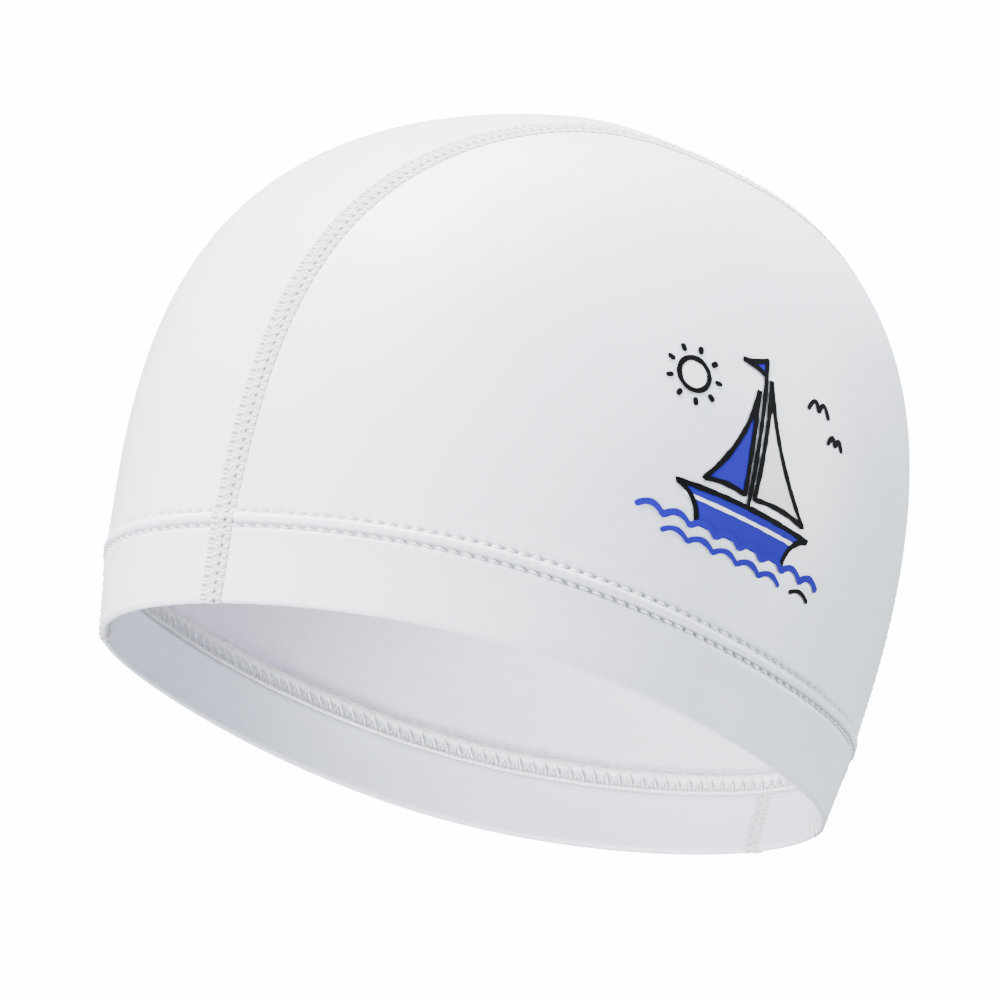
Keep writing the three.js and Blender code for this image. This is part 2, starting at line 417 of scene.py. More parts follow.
# Back of the knit, uncoated: matt, faintly lavender beside the coating, with upright wales
# 0.75 mm apart and courses 0.6 mm apart that break the light into fine speckle
def knitBack():
    material, tree, shader = newMaterial("brushed_knit_back", "ECEAF4", 0.86, {
        "Sheen Weight": 0.35, "Sheen Roughness": 0.6})
    uv = addNode(tree, "ShaderNodeUVMap", {"uv_map": "millimetres"}).outputs["UV"]
    wale, course = 0.75, 0.6
    stretched = addNode(tree, "ShaderNodeMapping", {"Scale": (1 / wale, 1 / course, 1)}, {"Vector": uv})
    wales = addNode(tree, "ShaderNodeTexWave", {"Scale": 0.3142, "Distortion": 6, "Detail": 4,
                    "Detail Scale": 1.5, "bands_direction": "X"}, {"Vector": stretched.outputs[0]})
    courses = addNode(tree, "ShaderNodeTexVoronoi", {"Scale": 1, "Randomness": 0.55},
                      {"Vector": stretched.outputs[0]})
    fuzz = addNode(tree, "ShaderNodeTexNoise", {"Scale": 0.7, "Detail": 4, "Roughness": 0.7},
                   {"Vector": uv})
    loops = addNode(tree, "ShaderNodeMath", {"operation": "MULTIPLY_ADD", 1: 0.8},
                    {0: courses.outputs["Distance"], 2: wales.outputs["Fac"]})
    height = addNode(tree, "ShaderNodeMath", {"operation": "MULTIPLY_ADD", 1: 1.0},
                     {0: fuzz.outputs["Fac"], 2: loops.outputs[0]})
    bump = addNode(tree, "ShaderNodeBump", {"Strength": 0.3, "Distance": 0.00018},
                   {"Height": height.outputs[0]})
    tree.links.new(bump.outputs["Normal"], shader.inputs["Normal"])
    tone = addNode(tree, "ShaderNodeValToRGB", {"stops": ((0.15, "EAE8F2"), (0.9, "F3F1FA"))},
                   {"Fac": loops.outputs[0]})
    tree.links.new(tone.outputs["Color"], shader.inputs["Base Color"])
    return material


# A raised grain all over a surface. Returns the place that its noise is read at.
def addGrain(tree, shader, noise, bump):
    place = addNode(tree, "ShaderNodeTexCoord").outputs["Object"]
    grain = addNode(tree, "ShaderNodeTexNoise", noise, {"Vector": place})
    raised = addNode(tree, "ShaderNodeBump", bump, {"Height": grain.outputs["Fac"]})
    tree.links.new(raised.outputs["Normal"], shader.inputs["Normal"])
    return place


# Textured polyester thread: bulky filaments with no gloss, warmer than the coating, with dust
# fine fuzz that softens each strand's edge
def thread(name, light, dark):
    material, tree, shader = newMaterial(name, light, 0.78, {
        "Sheen Weight": 0.4, "Sheen Roughness": 0.45})
    place = addGrain(tree, shader, {"Scale": 5200, "Detail": 3, "Roughness": 0.7},
                     {"Strength": 0.7, "Distance": 0.0001})
    slub = addNode(tree, "ShaderNodeTexNoise", {"Scale": 620, "Detail": 2}, {"Vector": place})
    tone = addNode(tree, "ShaderNodeValToRGB", {"stops": ((0.35, dark), (0.6, light))},
                   {"Fac": slub.outputs["Fac"]})
    tree.links.new(tone.outputs["Color"], shader.inputs["Base Color"])
    return material


# Where two cloth edges meet under the stitches: the same thread feet and knit, with painted shade:
# greyer than the coating for the little light that gets between the threads, and dark in the needle holes
def bedCloth():
    material, tree, shader = newMaterial("seam_bed_knit", "E2E6EA", 0.9)
    shade = addNode(tree, "ShaderNodeAttribute", {"attribute_name": "shade"})
    # Painted shade: the shade attribute darkens the bed from E2E6EA towards 3E4147
    tone = addNode(tree, "ShaderNodeValToRGB", {"stops": ((0, "E2E6EA"), (1, "3E4147"))},
                   {"Fac": shade.outputs["Fac"]})
    tree.links.new(tone.outputs["Color"], shader.inputs["Base Color"])
    addGrain(tree, shader, {"Scale": 2600, "Detail": 3}, {"Strength": 0.6, "Distance": 0.0002})
    return material


# Screen-printed ink: a thin, even, slightly satin film that takes the cloth's own grain
def ink(name, color, roughness):
    material, tree, shader = newMaterial(name, color, roughness, {"Specular IOR Level": 0.06})
    addGrain(tree, shader, {"Scale": 1900, "Detail": 2}, {"Strength": 0.15, "Distance": 0.0001})
    return material


coating = coatedCloth()
knit = knitBack()
seamThread = thread("textured_polyester_seam_thread", "FBFAF8", "F0EFED")
hemThread = thread("textured_polyester_hem_thread", "FBFBF9", "F0F0EE")
seamBedCloth = bedCloth()

print("swim cap: panels")

panelLook = {
    "columnsPerStitch": 4,
    "crownRows": 37,
    "layer": 0.94,  # thickness of one layer, which leaves a hair between the hem's two
    "blendHeight": 46,  # up to here the centre panel's rows run level
}


# Painted shade on the coating, 0 to 1: a dark dot at each needle hole, a dark line in the crease above
# each needle row that is deeper at the lower one, and a painted shadow line inside the hem just under the
# looper threads' cord
paintedShadeMarks = {"hole": 0.75, "holeReach": 0.42, "lowerLine": 0.8, "upperLine": 0.35, "lineAbove": 0.42,
           "lineReach": 0.26, "cordLine": 0.6, "underCord": 0.62, "cordReach": 0.3}


def stitchShade(turn, rise, depth):
    height = cap["crownHeight"] * np.sin(rise * math.pi / 2)
    pulled = (0.5 + 0.5 * np.cos(2 * math.pi * stitchesAt(turn))) ** 3
    shade = 0
    for row, line in enumerate(("lowerLine", "upperLine")):
        above = height - hem["lowerRow"] - row * hem["rowGap"]
        shade = shade + paintedShadeMarks["hole"] * pulled * bell(above, paintedShadeMarks["holeReach"])
        shade = shade + paintedShadeMarks[line] * bell(above - paintedShadeMarks["lineAbove"], paintedShadeMarks["lineReach"])
    inside = paintedShadeMarks["cordLine"] * bell(height - cordHeight + paintedShadeMarks["underCord"], paintedShadeMarks["cordReach"])
    return np.where(depth > hem["cloth"], inside, np.clip(shade, 0, 1) * (depth == 0))


def finishPanel(name, points, shades, node):
    piece = newPiece(name, gridOn(points, shades), [coating, knit], [node])
    wall = piece.modifiers.new("cloth", "SOLIDIFY")
    wall.thickness = panelLook["layer"] * 0.001
    wall.offset = -1
    wall.use_even_offset = True
    wall.material_offset = 1
    wall.material_offset_rim = 1
    return piece


def sidePanel(name, node, side):
    heights, depths = hemRows()
    hemRise = riseOf(heights)
    topRise = float(seamRise(0, cap["panelGap"] / 2))
    crown = np.linspace(0, 1, panelLook["crownRows"])[:-1]
    crownRise = lerp(topRise, hemRise[0], crown ** 1.8)
    rise = np.concatenate([crownRise, hemRise])[:, None]
    depth = np.concatenate([0 * crownRise, depths])[:, None]
    frontTurn = turnOnStrip(1, rise, -1, cap["panelGap"] / 2)
    backTurn = turnOnStrip(1, rise, 1, cap["panelGap"] / 2)
    stitches = float((stitchesAt(backTurn) - stitchesAt(frontTurn)).max())
    columns = round(stitches * panelLook["columnsPerStitch"]) + 1
    turn = lerp(frontTurn, backTurn, np.linspace(0, 1, columns)[None, :])
    if side < 0:
        turn = math.pi - turn[:, ::-1]
    rise, depth = rise + 0 * turn, depth + 0 * turn
    return finishPanel(name, coatedFace(turn, rise, depth), stitchShade(turn, rise, depth), node)


# Where a ray in the plane of a strip column meets the skin, as a turn and a rise
def overCrown(share, ray):
    base = panelLook["blendHeight"]

    def placeOf(reach):
        y = -reach * np.cos(ray)
        z = base + reach * np.sin(ray)
        x = share * (stripHalfWidth(y, z) - cap["panelGap"] / 2)
        height = np.clip(z / cap["crownHeight"], 0, 1)
        turn = np.arctan2(y, x)
        for _ in range(12):
            along = np.sin(turn)
            turn = np.arctan2(y / np.maximum(lengthAt(along, height), 1e-6),
                              x / np.maximum(widthAt(along, height), 1e-6))
        along = np.sin(turn)
        pinch = 1 - cap["rimPinch"] * (1 - height) * np.sin(2 * turn) ** 2
        radius = np.hypot(y / np.maximum(lengthAt(along, height), 1e-6),
                          x / np.maximum(widthAt(along, height), 1e-6)) / pinch
        return turn, height, radius + (z >= cap["crownHeight"])

    reach = bisect(lambda r: placeOf(r)[2] > 1, 0 * ray, 0 * ray + 1.4 * cap["crownHeight"])
    turn, height, _ = placeOf(reach)
    return turn, np.arcsin(height) * 2 / math.pi


def centrePanel():
    heights, depths = hemRows()
    frontStitches = float(stitchesAt(turnOnStrip(1, riseOf(21.0), -1))
                          - stitchesAt(turnOnStrip(-1, riseOf(21.0), -1)))
    columns = round(abs(frontStitches) * panelLook["columnsPerStitch"]) + 1
    share = np.linspace(-1, 1, columns)[None, :]
    levels = np.linspace(panelLook["blendHeight"], heights[0], 9)[:-1]
    legHeights = np.concatenate([levels, heights])[:, None]
    legDepths = np.concatenate([0 * levels, depths])[:, None]
    depth = legDepths + 0 * share
    legs, shades = [], []
    for end in (-1, 1):
        rise = riseOf(legHeights) + 0 * share
        turn = turnOnStrip(share, rise, end, -cap["panelGap"] / 2)
        legs.append(coatedFace(turn, rise, depth))
        shades.append(stitchShade(turn, rise, depth))
    rays = np.linspace(0, math.pi, 98)[1:-1, None]
    turn, rise = overCrown(share + 0 * rays, rays + 0 * share)
    crown = coatedFace(turn, rise, 0 * turn)
    points = np.concatenate([legs[0][::-1], crown, legs[1]])[:, ::-1]
    shade = np.concatenate([shades[0][::-1], 0 * turn, shades[1]])[:, ::-1]
    return finishPanel("centre_panel_cloth", points, shade, "centre_panel")


centreCloth = centrePanel()
leftCloth = sidePanel("left_panel_cloth", "left_panel", 1)
rightCloth = sidePanel("right_panel_cloth", "right_panel", -1)

print("swim cap: threads")


# Threads are round curves through points in millimetres, turned into one mesh.
# Each run is an array of points with a fourth column for the thickness share.
def threadPiece(name, runs, thickness, material, nodes, ringSteps=1):
    curve = bpy.data.curves.new(name, "CURVE")
    curve.dimensions = "3D"
    curve.bevel_depth = thickness / 2 * 0.001
    curve.bevel_resolution = ringSteps
    curve.use_fill_caps = True
    for points, closed in runs:
        spline = curve.splines.new("POLY")
        spline.points.add(len(points) - 1)
        spline.points.foreach_set("co", np.c_[points[:, :3] * 0.001, np.ones(len(points))].ravel())
        spline.points.foreach_set("radius", points[:, 3])
        spline.use_cyclic_u = closed
    drawn = bpy.data.objects.new(name, curve)
    bpy.context.collection.objects.link(drawn)
    mesh = bpy.data.meshes.new_from_object(drawn.evaluated_get(bpy.context.evaluated_depsgraph_get()))
    bpy.data.objects.remove(drawn)
    bpy.data.curves.remove(curve)
    mesh.name = name
    mesh.materials.clear()
    mesh.polygons.foreach_set("use_smooth", [True] * len(mesh.polygons))
    return addPiece(name, mesh, [material], nodes)


# A place on the hem's coated face by stitch number, height and distance off the cloth
def onHemOutside(stitch, height, out):
    turn = turnAtStitch(stitch)
    rise = riseOf(height)
    return liftRim(offSkin(turn, rise, relief(turn, height) + out))


def onHemInside(stitch, height, out):
    turn = turnAtStitch(stitch)
    return liftRim(offSkin(turn, riseOf(height), -2 * hem["cloth"] - out))


coverStitch = {"thickness": 0.54, "length": 0.84, "lift": 0.1, "arch": 0.3, "sunk": 0.42,
               "wobble": 0.06, "slip": 0.03, "tilt": 0.16}


def needleRows():
    runs = []
    t = np.linspace(0, 1, 9)
    for row in (0, 1):
        for i in range(stitchCount):
            wobble = coverStitch["wobble"] * sway(np.array(i * 7.3 + row * 3.1), 0.7)
            slip = coverStitch["slip"] * sway(np.array(i * 3.7), row)
            stitch = i + (1 - coverStitch["length"]) / 2 + slip + t * coverStitch["length"]
            tilt = coverStitch["tilt"] * (t - 0.5) * (1 if row else -1)
            height = hem["lowerRow"] + row * hem["rowGap"] + tilt + wobble
            arch = np.sin(math.pi * t) ** 0.6
            out = lerp(-coverStitch["sunk"], coverStitch["arch"], arch) + coverStitch["lift"]
            radius = 0.72 + 0.28 * np.sin(math.pi * t)
            runs.append((np.c_[onHemOutside(stitch, height, out), radius], False))
    return threadPiece("hem_needle_rows", runs, coverStitch["thickness"], hemThread, [], 2)


# The looper threads of one stitch, inside the hem. along: in stitches. up: 0 at the cord that
# the lower needle row holds, 1 at the cut edge. thick: share of the rung's. lift: off the cloth,
# with bow more at the middle. bend: how far the thread snakes along the hem, in stitches.
looper = {"rung": 0.54, "cord": 0.64, "cordTwist": 0.24, "cordLift": 0.46, "cordSway": 0.1,
          "jog": 0.08, "overEdge": 0.3}
looperThreads = [
    {"along": (0.0, 0.42), "up": (0, 1.2), "thick": 0.92, "lift": 0.2, "bow": 0.16, "bend": -0.06},
    {"along": (-0.1, -0.52), "up": (0, 1.15), "thick": 0.72, "lift": 0.14, "bow": 0.1, "bend": 0.08},
    {"along": (0.3, 0.52), "up": (0, 0.62), "thick": 0.6, "lift": 0.14, "bow": 0.1, "bend": 0.04},
    {"along": (0.6, 0.86), "up": (0.56, 0), "thick": 0.6, "lift": 0.14, "bow": 0.1, "bend": 0.04},
]


def looperLadder():
    top = hem["depth"] - hem["rollHeight"]
    runs = []
    steps = stitchCount * 8
    along = np.arange(steps) / 8
    for strand in (0, 1):  # two strands laid round each other make the cord
        phase = 2 * math.pi * along + strand * math.pi
        height = cordHeight + looper["cordTwist"] * np.cos(phase) + looper["cordSway"] * sway(along, 2)
        out = looper["cordLift"] + looper["cordTwist"] * np.sin(phase)
        thick = np.full(steps, looper["cord"] / looper["rung"])
        runs.append((np.c_[onHemInside(along, height, out), thick], True))
    t = np.linspace(0, 1, 7)
    arch = np.sin(math.pi * t)
    for i in range(stitchCount):
        for k, row in enumerate(looperThreads):
            jog = looper["jog"] * sway(np.array(i * 5.1 + k * 2.7), 0.4)
            stitch = i + jog + lerp(*row["along"], t) + row["bend"] * np.sin(2 * math.pi * t)
            up = lerp(*row["up"], t)
            height = lerp(cordHeight, top, up)
            out = row["lift"] + row["bow"] * arch + looper["overEdge"] * np.clip(up - 0.7, 0, None)
            runs.append((np.c_[onHemInside(stitch, height, out), 0 * t + row["thick"]], False))
    return threadPiece("hem_looper_threads", runs, looper["rung"], hemThread, ["hem_stitch"],
                       1)


# The cut edge curls into a soft roll, with the knit's loops standing out of it
roll = {"height": 1.5, "depth": 0.9, "sunk": 0.3, "raise": 0.1, "fibres": 1500, "fibre": 0.13}


def onRoll(along, angle, lift=0.0):
    radius = 1 + 0.1 * sway(along * 1.9, 0.9) + 0.05 * np.cos(2 * math.pi * along)
    middle = hem["depth"] - hem["rollHeight"] / 2 + roll["raise"]
    height = middle + (roll["height"] * radius + lift) * np.sin(angle)
    sunk = roll["sunk"] * (1 + 2.2 * np.sin(angle).clip(0))
    out = (roll["depth"] * radius + lift) * np.cos(angle) - sunk
    return onHemInside(along, height, out)


def cutEdge():
    columns, sides = stitchCount * 4, 14
    along = (np.arange(columns) / 4)[:, None]
    angle = (np.arange(sides) / sides * 2 * math.pi)[None, :]
    points = onRoll(along + 0 * angle, angle + 0 * along)
    bm = bmesh.new()
    bmesh.ops.create_grid(bm, x_segments=columns, y_segments=sides, size=0.5)
    for vertex in bm.verts:
        column = round((vertex.co.x + 0.5) * columns) % columns
        row = round((vertex.co.y + 0.5) * sides) % sides
        vertex.co = points[column, row] * 0.001
    bmesh.ops.remove_doubles(bm, verts=bm.verts, dist=1e-7)
    bmesh.ops.recalc_face_normals(bm, faces=bm.faces)
    for face in bm.faces:
        face.smooth = True
    return newPiece("hem_cut_edge", bm, [hemThread], [])


def cutEdgeFibres():
    runs = []
    t = np.linspace(0, 1, 5)
    for i in range(roll["fibres"]):
        place = i / roll["fibres"] * stitchCount
        lean = sway(np.array(i * 2.3), 0.2)
        angle = 0.2 + 1.0 * sway(np.array(i * 1.7), 1.9) + 0.9 * lean * t
        along = place + 0.32 * np.cos(math.pi * t) * (0.7 + 0.5 * lean)
        lift = 0.02 + (0.26 + 0.16 * lean) * np.sin(math.pi * t)
        runs.append((np.c_[onRoll(along, angle, lift), 1 - 0.3 * t], False))
    return threadPiece("hem_cut_edge_fibres", runs, roll["fibre"], hemThread, [], 0)


hemPieces = [needleRows(), looperLadder(), cutEdge(), cutEdgeFibres()]

print("swim cap: seams")

seam = {
    "width": 6.4,
    "pitch": 2.35,
    "bed": 0.1,  # height of the cloth edges under the threads
    "holeLine": 0.33,  # where the needle holes lie, in half widths towards the side panel
    "holeDepth": 0.07,
    "thread": 0.58,
    "threadLift": 0.06,
    "jog": 0.16,  # how unevenly the threads lie, across and along
    "slip": 0.08,
    "insideFlat": 0.5,  # inside the hem the stitches are pressed this much flatter
    "chain": 0.42,  # thickness of the threads on the knit side
}

# The threads of one stitch, on the centre panel's side (-1) to the side panel's (1).
# across and along: half widths and pitches, from one end to the other. thick: share of the
# thread's thickness. low and high: height over the bed at the ends and the middle. bow: how far
# the middle bows along the seam, in pitches.
stitchThreads = [
    {"across": (-1.0, -0.36), "along": (0.0, 0.05), "thick": 1.08, "low": -0.24, "high": 0.08, "bow": 0.02},
    {"across": (-0.86, -0.42), "along": (0.48, 0.5), "thick": 0.8, "low": -0.24, "high": 0.0, "bow": -0.03},
    {"across": (-0.62, -0.6), "along": (0.06, 0.46), "thick": 0.55, "low": -0.2, "high": -0.04, "bow": 0.0},
    {"across": (-0.42, 0.12), "along": (-0.1, 0.4), "thick": 1.02, "low": -0.22, "high": 0.1, "bow": 0.05},
    {"across": (-0.16, 0.16), "along": (0.56, 0.96), "thick": 0.7, "low": -0.24, "high": 0.0, "bow": 0.0},
    {"across": (0.54, 0.97), "along": (0.04, 0.16), "thick": 0.98, "low": -0.26, "high": -0.06, "bow": 0.04},
    {"across": (0.56, 0.92), "along": (0.5, 0.56), "thick": 0.78, "low": -0.26, "high": -0.08, "bow": -0.03},
    {"across": (0.27, 0.4), "along": (0.58, 0.86), "thick": 0.6, "low": -0.26, "high": -0.04, "bow": 0.0},
]


def seamFrame(side):
    heights, depths = hemRows()
    heights, depths = heights[::-1], depths[::-1]
    keep = (depths < 1.5) | (heights < cordHeight - 0.2)
    heights, depths = heights[keep], depths[keep]
    wall = lerp(float(riseOf(heights[-1])), float(riseOf(0.9 * cap["crownHeight"])),
                np.linspace(0, 1, 50)[1:])
    legRise = np.concatenate([riseOf(heights), wall])
    legDepth = np.concatenate([depths, 0 * wall])
    legs = [turnOnStrip(1, legRise, end) for end in (-1, 1)]
    over = np.linspace(legs[0][-1], legs[1][-1], 102)[1:-1]
    turn = np.concatenate([legs[0], over, legs[1][::-1]])
    rise = np.concatenate([legRise, seamRise(over), legRise[::-1]])
    depth = np.concatenate([legDepth, 0 * over, legDepth[::-1]])
    if side < 0:
        turn = math.pi - turn
    centre = coatedFace(turn, rise, depth)
    beside = coatedFace(turn + 0.01, rise, depth)
    along = lengthsAlong(centre)
    ahead = unit(np.gradient(centre, along, axis=0))
    outward = skinNormal(turn, rise)
    inside = depth > hem["cloth"]
    upright = outward - ahead * np.sum(outward * ahead, axis=1)[:, None]
    folded = np.cross(beside - centre, ahead)  # the cloth's normal where it turns up inside
    level = (depth > 0.9) & (depth < 1.1)
    facing = np.where(level, -folded[:, 2], np.sum(folded * outward, axis=1) * np.where(inside, -1, 1))
    folded = folded * np.sign(facing)[:, None]
    normal = unit(np.where(depth[:, None] > 0, folded, upright))
    across = unit(np.cross(ahead, normal)) * side
    clear = along[(depth == 0) & (rise > riseOf(hem["depth"] + 2.2))]
    return {"along": along, "centre": centre, "normal": normal, "across": across,
            "inside": inside * 1.0, "clear": (clear[0], clear[-1])}


def onSeam(line, along, across, out):
    along, across, out = np.broadcast_arrays(along, across, out)
    flat = along.ravel()
    def read(key):
        columns = [np.interp(flat, line["along"], line[key][:, k]) for k in range(3)]
        return np.stack(columns, -1).reshape(along.shape + (3,))
    normal, sideways = unit(read("normal")), unit(read("across"))
    sag = across ** 2 / (2 * cap["halfWidth"])
    return read("centre") + sideways * across[..., None] + normal * (out - sag)[..., None]


def seamThreads(name, node, line, side):
    total = line["along"][-1]
    units = int(total / seam["pitch"])
    pitch = total / units
    half = seam["width"] / 2
    t = np.linspace(0, 1, 7)
    arch = np.sin(math.pi * t) ** 0.55
    runs = []
    for i in range(units):
        isInside = np.interp((i + 0.5) * pitch, line["along"], line["inside"]) > 0.5
        flat = seam["insideFlat"] if isInside else 1
        for k, row in enumerate(stitchThreads):
            jog = sway(np.array(i * 4.7 + k * 2.3), side + 1.1)
            across = lerp(*row["across"], t) * half + seam["jog"] * jog * (1 - t)
            along = lerp(*row["along"], t) + row["bow"] * np.sin(math.pi * t) + seam["slip"] * jog
            out = seam["bed"] + lerp(row["low"], row["high"], arch) * flat + seam["threadLift"]
            thick = row["thick"] * flat * (0.62 + 0.38 * arch) * (1 + 0.08 * jog)
            place = np.clip((i + 0.5 + along) * pitch, 0.25, total - 0.25)
            runs.append((np.c_[onSeam(line, place, across, out), thick], False))
    return threadPiece(name, runs, seam["thread"], seamThread, [node], 1)


# The cloth edges and thread feet that the stitches lie on, pitted at the needle holes, with painted shade
# in the holes and in the gaps between the threads, and a dashed painted shadow where they dive in at the
# side panel's edge
def seamBed(name, line, side):
    total = line["along"][-1]
    units = int(total / seam["pitch"])
    half = seam["width"] / 2
    hole = seam["holeLine"]
    shares = np.array([-0.98, -0.9, -0.74, -0.56, -0.34, -0.1, 0.1, hole - 0.12, hole - 0.04,
                       hole + 0.04, hole + 0.12, 0.6, 0.8, 0.94, 1.0, 1.05])[None, :]
    along = np.linspace(0.2, total - 0.2, units * 6)[:, None]
    stitch = along * units / total - 0.5
    edge = np.clip(np.minimum(shares + 0.98, 1.05 - shares) / 0.1, 0, 1) ** 0.5
    slanted = (stitch - 0.16 - 0.9 * (shares - hole) + 0.5) % 1 - 0.5
    pit = bell(shares - hole, 0.13) * bell(slanted, 0.22)
    between = 0.5 - 0.5 * np.cos(4 * math.pi * stitch)
    gaps = bell(shares + 0.62, 0.3) * between
    sideGaps = bell(shares - 0.74, 0.2) * between
    edgeShadow = bell(shares - 1.01, 0.05) * (0.45 + 0.55 * np.cos(2 * math.pi * stitch))
    pressed = 1 - 0.65 * np.interp(along, line["along"], line["inside"])
    out = seam["bed"] * edge + 0.015 - seam["holeDepth"] * pit * edge
    points = onSeam(line, along + 0 * shares, shares * half + 0 * along, out)
    # Painted shade: a little everywhere, most in the needle holes, then the thread gaps and the edge's
    # dashed shadow, weaker inside the hem
    shade = np.clip(0.14 + pressed * (1.2 * pit + 0.55 * gaps + 0.5 * sideGaps + 0.85 * edgeShadow), 0, 1)
    if side < 0:
        points, shade = points[:, ::-1], shade[:, ::-1]
    return newPiece(name, gridOn(points, shade), [seamBedCloth], [])


# On the knit side the seam is a flat strip of cloth edge under three zigzag threads
def seamBack(name, line, side):
    start, end = line["clear"]
    units = round((end - start) / seam["pitch"])
    half = seam["width"] / 2
    depth = -hem["cloth"]
    shares = np.array([-0.94, -0.88, 0.0, 0.88, 0.94])[None, :]
    along = np.linspace(start, end, units * 2)[:, None]
    out = depth - 0.12 * np.clip((0.94 - np.abs(shares)) / 0.06, 0, 1) + 0.06
    points = onSeam(line, along + 0 * shares, shares * half + 0 * along, out + 0 * along)
    if side > 0:
        points = points[:, ::-1]
    bed = newPiece(name + "_bed", gridOn(points, 0 * points[..., 0]), [seamBedCloth], [])
    runs = []
    stitch = np.arange(units * 6 + 1) / 6
    swing = np.clip(1.25 * np.cos(2 * math.pi * stitch), -1, 1)
    for k, middle in enumerate((-0.58, 0.0, 0.58)):
        across = (middle + 0.3 * swing * (-1) ** k + 0.03 * sway(stitch * 3.1, k)) * half
        out = depth - 0.16 - 0.07 * np.sin(2 * math.pi * stitch + k)
        place = np.clip(start + stitch * (end - start) / units, start, end)
        runs.append((np.c_[onSeam(line, place, across, out), 1 + 0 * stitch], False))
    return bed, threadPiece(name, runs, seam["chain"], seamThread, [], 1)


def flatSeam(node, side):
    line = seamFrame(side)
    return [seamThreads(node + "_threads", node, line, side), seamBed(node + "_bed", line, side),
            *seamBack(node + "_back", line, side)]


leftSeam = flatSeam("left_seam", 1)
rightSeam = flatSeam("right_seam", -1)

print("swim cap: print")

artwork = {
    "turn": 14,  # degrees round from the wearer's left to the middle of the print
    "height": 66,
    "line": 1.4,
    "film": 0.05,
    "fillLevel": 0.1,  # off the coating, so that the colours lie on each other as printed
    "bandLevel": 0.16,
    "lineLevel": 0.22,
    "mastLevel": 0.25,
    "waveLevel": 0.28,
    "grain": 2.5,  # a filled shape bends with the cap in squares of this size
}

offWhite = ink("off_white_screen_ink", "F1F0F3", 0.6)
blue = ink("blue_screen_ink", "241C98", 0.75)
black = ink("black_screen_ink", "050506", 0.75)
inks = [offWhite, blue, black]

# Corners of the printed shapes, in millimetres from the middle of the print.
# bulge: how far the edge to the next corner bows out. inWater: the last edge has no line
sailShapes = [
    {"ink": 0, "corners": [
        {"x": 1.8, "y": 24, "bulge": 0.3}, {"x": 1.6, "y": -8, "bulge": 0.9},
        {"x": 20, "y": -8.6, "bulge": 3.4}]},
    {"ink": 1, "corners": [
        {"x": -1.8, "y": 20, "bulge": 2.1}, {"x": -14.5, "y": -8.4, "bulge": 0.8},
        {"x": -1.6, "y": -8, "bulge": 0.2}]},
    {"ink": 1, "corners": [
        {"x": 15, "y": -20.6, "bulge": 2.2}, {"x": 23, "y": -11.4, "bulge": -0.7},
        {"x": -22, "y": -11.4, "bulge": 2.2}, {"x": -14, "y": -20.6, "bulge": 0}],
     "inWater": True},
    {"ink": 1, "corners": [
        {"x": 0, "y": 29, "bulge": 0.5}, {"x": -8, "y": 26.6, "bulge": 0.5},
        {"x": 0, "y": 24.6, "bulge": 0}]},
]
mast = {"from": (0, 29.6), "to": (0, -11), "line": 1.35, "ink": 2, "level": artwork["mastLevel"]}
band = {"from": (-19.4, -13.9), "to": (20.4, -13.9), "line": 1, "ink": 0, "level": artwork["bandLevel"]}
sun = {"x": -21.5, "y": 17, "radius": 4.3, "rays": 9, "rayStart": 6, "rayEnd": 8.2}
gulls = [{"x": 19.5, "y": 22, "span": 8.5}, {"x": 27.5, "y": 15.5, "span": 6.5}]
waves = [
    {"y": -21.6, "from": -31, "to": 31, "crest": 7.75, "height": 2.1, "line": 1.7, "ink": 1},
    {"y": -25.6, "from": -23, "to": 16, "crest": 7.8, "height": 1.9, "line": 1.5, "ink": 1},
    {"y": -25.4, "from": 20.5, "to": 28.5, "crest": 8, "height": 1.6, "line": 1.1, "ink": 2},
]


def onPrint(across, up, level):
    turn = math.radians(artwork["turn"])
    heights = np.linspace(20, 120, 501)
    lengths = lengthsAlong(skinPoint(turn + 0 * heights, riseOf(heights)))
    lengths -= np.interp(artwork["height"], heights, lengths)
    rise = riseOf(np.interp(up, lengths, heights))
    step = 1e-3
    pace = np.linalg.norm(skinPoint(turn + step, rise) - skinPoint(turn - step, rise), axis=-1)
    return liftRim(offSkin(turn + across * 2 * step / pace, rise, level))


def bowed(corners, steps=14):
    points = []
    for here, there in zip(corners, corners[1:] + corners[:1]):
        start, end = np.array([here["x"], here["y"]]), np.array([there["x"], there["y"]])
        out = np.array([end[1] - start[1], start[0] - end[0]]) / np.linalg.norm(end - start)
        t = np.arange(steps)[:, None] / steps
        points.append(lerp(start, end, t) - out * here["bulge"] * 4 * t * (1 - t))
    return np.concatenate(points)


def fillShape(bm, points, color, level):
    corners = [bm.verts.new((x, y, level)) for x, y in points]
    face = bm.faces.new(corners)
    face.normal_update()
    if face.normal.z < 0:
        face.normal_flip()
    face.material_index = color
    for axis in (0, 1):
        low, high = points[:, axis].min(), points[:, axis].max()
        for cut in np.arange(low + artwork["grain"] / 2, high, artwork["grain"]):
            way = Vector((axis == 0, axis == 1, 0))
            mine = [f for f in bm.faces if f.material_index == color
                    and abs(f.calc_center_median().z - level) < 1e-4]
            parts = set(mine) | {e for f in mine for e in f.edges} | {v for f in mine for v in f.verts}
            bmesh.ops.bisect_plane(bm, geom=list(parts), plane_co=way * cut, plane_no=way)


